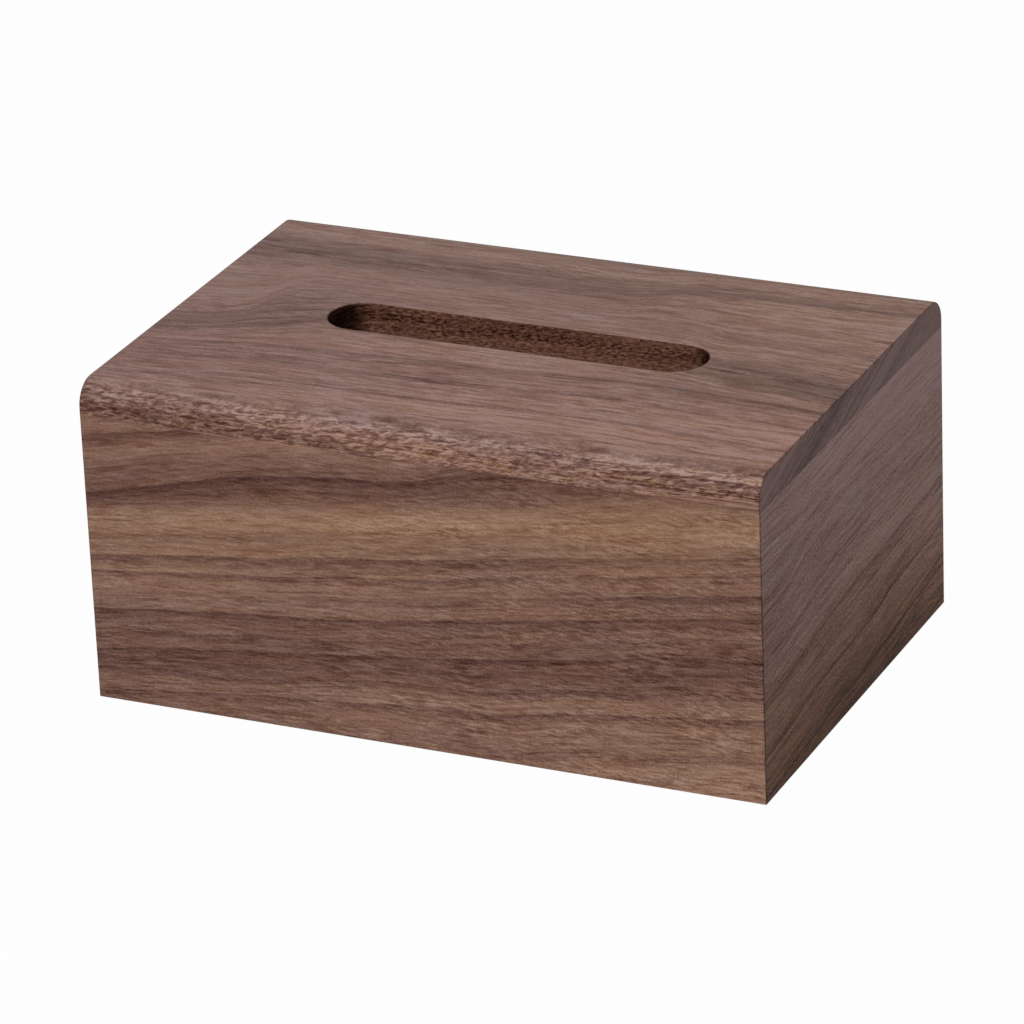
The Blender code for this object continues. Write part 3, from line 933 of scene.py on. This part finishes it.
def walnut(name, board, grain, across, depth, seed, flip=False, slotted=False):
    """Oiled walnut with a board's own figure.

    grain, across and depth: axis index, sign and origin of the board's three directions.
    flip: the figure is turned over. slotted: the board has the rounded edges and the slot.
    """
    graph = Graph(name, WALNUT_ROUGHNESS, WALNUT_SPECULAR)
    place = graph.split(graph.place.outputs["Object"])
    facing = graph.split(graph.place.outputs["Normal"])
    u = axis(graph, place[grain[0]], *grain[1:])
    v = axis(graph, place[across[0]], *across[1:])
    d = axis(graph, place[depth[0]], *depth[1:])
    if flip:
        v = graph.linear(v, -1.0, TURNED_FROM)

    wander = graph.noise(graph.join(graph.times(u, 0.018), graph.times(v, 0.10), seed), 2.0)
    leaning = graph.linear(d, board.lean, graph.linear(wander, 1.5, v))
    level = growth_level(graph, u, leaning, board)
    tone = drawn_tone(graph, u, level, board)
    rings, dull = ring_tone(graph, u, level, seed, board)
    tone = graph.minus(tone, rings)
    tone, fine, relief = grain_tone(graph, tone, u, d, level, leaning, seed, board)

    broad = graph.minus(tone, fine)
    ends = graph.math("ABSOLUTE", facing[grain[0]])
    end_grain = graph.spread(ends, 0.6, 0.95, 0.0, 1.0, smooth=True)
    tone = graph.linear(graph.times(fine, end_grain), END_GRAIN_FINE, tone)

    def colour_of(tone):
        colour = graph.tint(1.0, graph.walnut_colour(tone), board.tint)
        for start, full in ((ZONE_START, ZONE_DARK), (ZONE_DARK, ZONE_DARKEST)):
            colour = graph.tint(graph.spread(broad, start, full), colour, board.dark_tint)
        colour = graph.tint(dull, colour, board.dash_tint)
        colour = graph.tint(graph.spread(fine, 0.0, -FINE_REACH), colour, FINE_DARK_TINT)
        return graph.tint(graph.spread(fine, 0.0, FINE_REACH), colour, FINE_LIGHT_TINT)

    if slotted:
        colour, relief = worked_edge(graph, tone, relief, colour_of, place, facing)
    else:
        colour = colour_of(tone)

    streaks = graph.noise(
        graph.join(graph.times(u, 0.02), graph.times(level, 0.17), seed + 9.0), 3.0, 0.6
    )
    breadth = (0.0, board.breadth)
    hues = (-HUE_REACH, HUE_REACH)
    hue = graph.curve(level, board.hues, breadth, hues)
    hue = graph.linear(u, board.hue_drift, hue)
    hue = graph.linear(streaks, STREAK_HUES, hue)
    colour = graph.tint(graph.spread(hue, 0.0, HUE_REACH), colour, PURPLE_TINT)
    colour = graph.tint(graph.spread(hue, 0.0, -HUE_REACH), colour, GOLDEN_TINT)
    green = graph.curve(level, board.greens, breadth, hues)
    green = graph.linear(streaks, STREAK_HUES, green)
    colour = graph.tint(graph.spread(green, 0.0, HUE_REACH), colour, GREEN_TINT)
    colour = graph.tint(graph.spread(green, 0.0, -HUE_REACH), colour, RED_TINT)

    colour = graph.tint(end_grain, colour, END_GRAIN_TINT)
    # Painted sheen: a pale veil mixed into the colour, stronger on faces that look up or to a side
    painted_sheen = graph.mix(graph.spread(broad, 60.0, 120.0), DARK_PAINTED_SHEEN, PAINTED_SHEEN)
    sheen_share = graph.linear(graph.math("ABSOLUTE", facing[1]), PAINTED_SHEEN_CHANGE, PAINTED_SHEEN_SHARE)
    sheen_share = graph.times(sheen_share, graph.spread(tone, 50.0, 110.0, 0.5, 1.0))
    colour = graph.mix(sheen_share, colour, painted_sheen)
    # Painted shade: a dark line along the eased arrises between the faces
    arris_shade = graph.times(graph.spread(ends, 0.12, 0.4), graph.spread(ends, 0.7, 0.97, 1.0, 0.0))
    if slotted:
        colour = graph.tint(arris_shade, colour, TOP_ARRIS_PAINTED_SHADE)
        colour = slot_walls(graph, colour, place, facing)
    else:
        colour = graph.tint(arris_shade, colour, ARRIS_PAINTED_SHADE)
    graph.feed(graph.shader.inputs["Base Color"], colour)
    graph.bump(relief, WALNUT_RELIEF, WALNUT_RELIEF_STRENGTH)
    return graph.material


# Strands of plain wood for each metre, across its grain and along it
PLAIN_ACROSS = 900.0
PLAIN_ALONG = 40.0


def plain_wood(name, dark, light, roughness):
    """Unfinished wood with upright grain, for what is let into the boards."""
    graph = Graph(name, roughness, specular=0.3)
    place = graph.split(graph.place.outputs["Object"])
    across = [graph.times(place[k], PLAIN_ACROSS) for k in (0, 1)]
    strands = graph.noise(graph.join(*across, graph.times(place[2], PLAIN_ALONG)), 3.0, 0.6)
    colour = graph.mix(graph.spread(strands, -0.25, 0.25), (*dark, 1.0), (*light, 1.0))
    graph.feed(graph.shader.inputs["Base Color"], colour)
    graph.bump(strands, 0.05 * MM, 0.4)
    return graph.material


# The object


def dress(body, material):
    """A board's material, body and slot."""
    body.data.materials.clear()
    body.data.materials.append(material)
    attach(body, "root")


def make_object():
    """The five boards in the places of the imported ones, and the looks of what is let in."""
    half_width = WIDTH / 2
    half_depth = DEPTH / 2
    x, y, z = 0, 1, 2

    top = make_top_board()
    dress(top, walnut("walnut_top_figure", TOP, (x, 1, -half_width), (y, 1, -half_depth),
                      (z, -1, HEIGHT), seed=1.0, slotted=True))
    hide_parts("top_board")

    front = make_frame_board("walnut_front", WIDTH, half_depth, 0, dowel_side=-1)
    dress(front, walnut("walnut_front_figure", FRONT, (x, 1, -half_width), (z, 1, 0.0),
                        (y, 1, -half_depth), seed=2.0))
    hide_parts("front_board")

    right = make_frame_board("walnut_right", DEPTH, half_width, 1)
    dress(right, walnut("walnut_right_figure", SIDE, (y, 1, -half_depth), (z, 1, 0.0),
                        (x, -1, half_width), seed=3.0))
    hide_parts("right_board")

    back = make_frame_board("walnut_back", WIDTH, half_depth, 2, dowel_side=1)
    dress(back, walnut("walnut_back_figure", FRONT, (x, -1, half_width), (z, 1, 0.0),
                       (y, -1, half_depth), seed=14.0, flip=True))
    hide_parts("back_board")

    left = make_frame_board("walnut_left", DEPTH, half_width, 3)
    dress(left, walnut("walnut_left_figure", SIDE, (y, -1, half_depth), (z, 1, 0.0),
                       (x, 1, -half_width), seed=23.0, flip=True))
    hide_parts("left_board")

    tongue = plain_wood("tongue_walnut", (0.085, 0.045, 0.032), (0.17, 0.095, 0.066), 0.6)
    beech = plain_wood("dowel_beech", (0.42, 0.28, 0.17), (0.56, 0.40, 0.26), 0.6)
    for name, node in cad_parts.items():
        if name.endswith("_spline"):
            node.data.materials.clear()
            node.data.materials.append(tongue)
        if name.endswith("_dowel"):
            node.data.materials.clear()
            node.data.materials.append(beech)


# The studio


def seen_directly(tree):
    """One for rays of the camera and mirror or glass rays, nought for light that falls on things."""
    path = tree.nodes.new("ShaderNodeLightPath")
    either = tree.nodes.new("ShaderNodeMath")
    either.operation = "MAXIMUM"
    tree.links.new(path.outputs["Is Camera Ray"], either.inputs[0])
    tree.links.new(path.outputs["Is Glossy Ray"], either.inputs[1])
    all_three = tree.nodes.new("ShaderNodeMath")
    all_three.operation = "MAXIMUM"
    tree.links.new(either.outputs[0], all_three.inputs[0])
    tree.links.new(path.outputs["Is Transmission Ray"], all_three.inputs[1])
    return all_three.outputs[0]


def make_world(ambient):
    """White to the eye, and a dim even light on everything."""
    world = bpy.data.worlds.new("studio")
    bpy.context.scene.world = world
    world.use_nodes = True
    tree = world.node_tree
    tree.nodes.clear()
    dim = tree.nodes.new("ShaderNodeBackground")
    dim.inputs["Color"].default_value = (*ambient, 1.0)
    white = tree.nodes.new("ShaderNodeBackground")
    white.inputs["Color"].default_value = (1.0, 1.0, 1.0, 1.0)
    blend = tree.nodes.new("ShaderNodeMixShader")
    tree.links.new(seen_directly(tree), blend.inputs[0])
    tree.links.new(dim.outputs[0], blend.inputs[1])
    tree.links.new(white.outputs[0], blend.inputs[2])
    output = tree.nodes.new("ShaderNodeOutputWorld")
    tree.links.new(blend.outputs[0], output.inputs[0])


def make_floor(size, shade, whiteness, glow_strength):
    """A pale floor that looks white and keeps a faint shadow of the object."""
    shape = bmesh.new()
    bmesh.ops.create_grid(shape, x_segments=1, y_segments=1, size=size / 2)
    mesh = bpy.data.meshes.new("floor")
    shape.to_mesh(mesh)
    shape.free()
    floor = link("floor", mesh)
    material = bpy.data.materials.new("floor_white")
    material.use_nodes = True
    tree = material.node_tree
    matt = tree.nodes["Principled BSDF"]
    matt.inputs["Base Color"].default_value = (shade, shade, shade, 1.0)
    matt.inputs["Roughness"].default_value = 0.9
    matt.inputs["Specular IOR Level"].default_value = 0.0
    glow = tree.nodes.new("ShaderNodeEmission")
    glow.inputs["Strength"].default_value = glow_strength
    share = tree.nodes.new("ShaderNodeMath")
    share.operation = "MULTIPLY"
    share.inputs[1].default_value = whiteness
    tree.links.new(seen_directly(tree), share.inputs[0])
    blend = tree.nodes.new("ShaderNodeMixShader")
    tree.links.new(share.outputs[0], blend.inputs[0])
    tree.links.new(matt.outputs[0], blend.inputs[1])
    tree.links.new(glow.outputs[0], blend.inputs[2])
    tree.links.new(blend.outputs[0], tree.nodes["Material Output"].inputs["Surface"])
    mesh.materials.append(material)


def make_lamp(name, direction, distance, size, power):
    """A square soft box that shines on the object from a direction."""
    light = bpy.data.lights.new(name, "AREA")
    light.shape = "SQUARE"
    light.size = size
    light.energy = power
    lamp = bpy.data.objects.new(name, light)
    bpy.context.scene.collection.objects.link(lamp)
    towards = Vector(direction).normalized()
    lamp.location = Vector((0, 0, HEIGHT / 2)) + towards * distance
    lamp.rotation_euler = towards.to_track_quat("Z", "Y").to_euler()


# The camera, as the photograph was taken
IMAGE_SIZE = 1024
FOCAL_PIXELS = 6019.97
AZIMUTH = math.radians(24.944)
ELEVATION = math.radians(23.882)
ROLL = math.radians(-2.3517)
SIDEWAYS = 4.339 * MM
UPWARDS = -40.789 * MM
DISTANCE = 1.79710


def make_camera():
    """The camera that shows the object as the photograph does."""
    towards = Vector((math.sin(AZIMUTH) * math.cos(ELEVATION),
                      -math.cos(AZIMUTH) * math.cos(ELEVATION), math.sin(ELEVATION)))
    level_right = Vector((0, 0, 1)).cross(towards).normalized()
    level_up = towards.cross(level_right)
    right = math.cos(ROLL) * level_right + math.sin(ROLL) * level_up
    up = math.cos(ROLL) * level_up - math.sin(ROLL) * level_right
    data = bpy.data.cameras.new("camera")
    data.sensor_fit = "HORIZONTAL"
    data.sensor_width = 36.0
    data.lens = data.sensor_width * FOCAL_PIXELS / IMAGE_SIZE
    data.clip_start = 0.05
    data.clip_end = 50.0
    camera = bpy.data.objects.new("camera", data)
    bpy.context.scene.collection.objects.link(camera)
    turn = Matrix((right, up, towards)).transposed().to_4x4()
    place = -SIDEWAYS * right - UPWARDS * up + DISTANCE * towards
    camera.matrix_world = Matrix.Translation(place) @ turn
    bpy.context.scene.camera = camera


make_camera()
make_object()
make_world(ambient=(0.24, 0.24, 0.25))
make_floor(size=10.0, shade=0.42, whiteness=0.98, glow_strength=1.0)
make_lamp("key", direction=(-0.45, -0.80, 0.70), distance=1.6, size=1.1, power=17.2)
make_lamp("fill", direction=(0.95, -0.45, 0.6), distance=2.0, size=1.4, power=24.0)
bpy.context.scene.view_settings.view_transform = "Standard"
